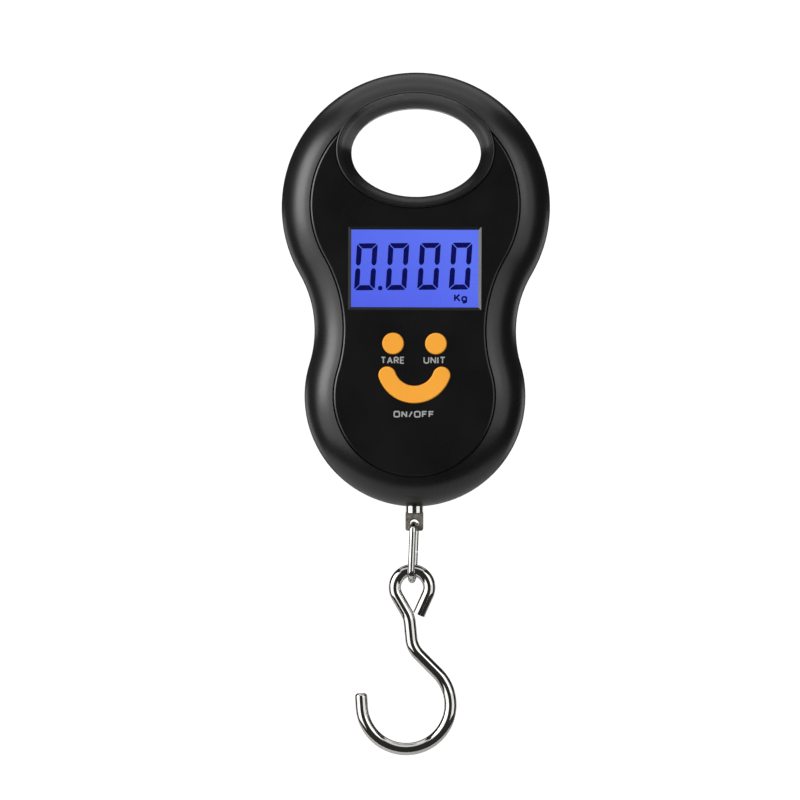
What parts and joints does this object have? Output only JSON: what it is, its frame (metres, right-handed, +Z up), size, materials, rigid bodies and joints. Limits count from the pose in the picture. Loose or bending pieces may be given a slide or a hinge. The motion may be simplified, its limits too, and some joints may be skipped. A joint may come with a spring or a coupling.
{
  "type": "digital fish scale",
  "caption": "Hand-held digital fish scale with a two-lobed case, oval handle opening, lit display, buttons and a swivelling steel hook.",
  "frame": {"origin": "middle of the handle opening's top edge at the parting plane between the two shells, where a hand or cord carries the scale", "axes": "+X to the right seen from the front, +Y to the back, +Z up; the load hangs down the Z axis"},
  "size_m": [0.077, 0.027, 0.1959],
  "materials": {
    "case_plastic": "fine-textured black",
    "panel_plastic": "smooth satin black",
    "lens": "clear, flat",
    "lcd_glass": "blue, back-lit",
    "light_guide": "milky",
    "led": "clear resin",
    "elastomer": "striped",
    "holder_plastic": "moulded",
    "board": "green solder mask",
    "screw_steel": "zinc plated",
    "dark_screw": "black oxide",
    "chip": "moulded epoxy",
    "crystal_can": "pressed can",
    "capacitor": "ceramic",
    "switch_metal": "stamped cover",
    "cell_sleeve": "plain printed sleeve",
    "contact_steel": "nickel plated",
    "red_insulation": "soft",
    "white_insulation": "soft",
    "beam_aluminium": "machined",
    "gauge_film": "polyimide film",
    "white_silicone": "soft",
    "hanger_steel": "polished shank, rough block",
    "link_chrome": "plated",
    "hook_chrome": "polished",
    "orange_plastic": "satin",
    "stem_plastic": "moulded"
  },
  "bodies": {
    "case": {"front_shell": "case_plastic", "rear_shell": "case_plastic", "face_panel": "panel_plastic", "display_lens": "lens", "lcd_glass": "lcd_glass", "light_guide": "light_guide", "backlight_leds": "led", "zebra_strip": "elastomer", "lcd_holder": "holder_plastic", "circuit_board": "board", "board_screws": "screw_steel", "controller_chip": "chip", "amplifier_chip": "chip", "crystal": "crystal_can", "resistors": "chip", "capacitors": "capacitor", "switch_bodies": "switch_metal", "left_aaa_cell": "cell_sleeve", "right_aaa_cell": "cell_sleeve", "contact_springs": "contact_steel", "contact_plates": "contact_steel", "battery_leads": "red_insulation", "case_screws": "dark_screw", "load_cell": "beam_aluminium", "load_cell_screws": "dark_screw", "strain_gauges": "gauge_film", "gauge_coating": "white_silicone", "load_cell_leads": "white_insulation"},
    "battery_door": {"battery_door": "case_plastic"},
    "hanger": {"hanger_rod": "hanger_steel", "hanger_washer": "screw_steel", "hanger_nut": "screw_steel"},
    "link": {"ring_link": "link_chrome"},
    "hook": {"hook": "hook_chrome"},
    "tare_button": {"tare_button": "orange_plastic", "tare_switch_stem": "stem_plastic"},
    "unit_button": {"unit_button": "orange_plastic", "unit_switch_stem": "stem_plastic"},
    "power_button": {"power_button": "orange_plastic", "power_switch_stem": "stem_plastic"}
  },
  "joints": [
    {"name": "hanger_swivel", "type": "hinge", "parent": "case", "child": "hanger", "pos_m": [0, 0, -0.095], "axis": [0, 0, 1], "continuous": true},
    {"name": "link_swing", "type": "hinge", "parent": "hanger", "child": "link", "pos_m": [0, 0, -0.11945], "axis": [0.0958, 0.9954, 0], "range_deg": [-80, 80]},
    {"name": "hook_swing", "type": "hinge", "parent": "link", "child": "hook", "pos_m": [-0.0006, 0, -0.1326], "axis": [1, 0, 0], "range_deg": [-75, 75]},
    {"name": "battery_door_tilt", "type": "hinge", "parent": "case", "child": "battery_door", "pos_m": [0, 0.01315, -0.09055], "axis": [-1, 0, 0], "range_deg": [0, 70]},
    {"name": "tare_press", "type": "slide", "parent": "case", "child": "tare_button", "axis": [0, 1, 0], "range_m": [0, 0.0004], "stiffness_N_per_m": 1500},
    {"name": "unit_press", "type": "slide", "parent": "case", "child": "unit_button", "axis": [0, 1, 0], "range_m": [0, 0.0004], "stiffness_N_per_m": 1500},
    {"name": "power_press", "type": "slide", "parent": "case", "child": "power_button", "axis": [0, 1, 0], "range_m": [0, 0.0004], "stiffness_N_per_m": 1500}
  ]
}
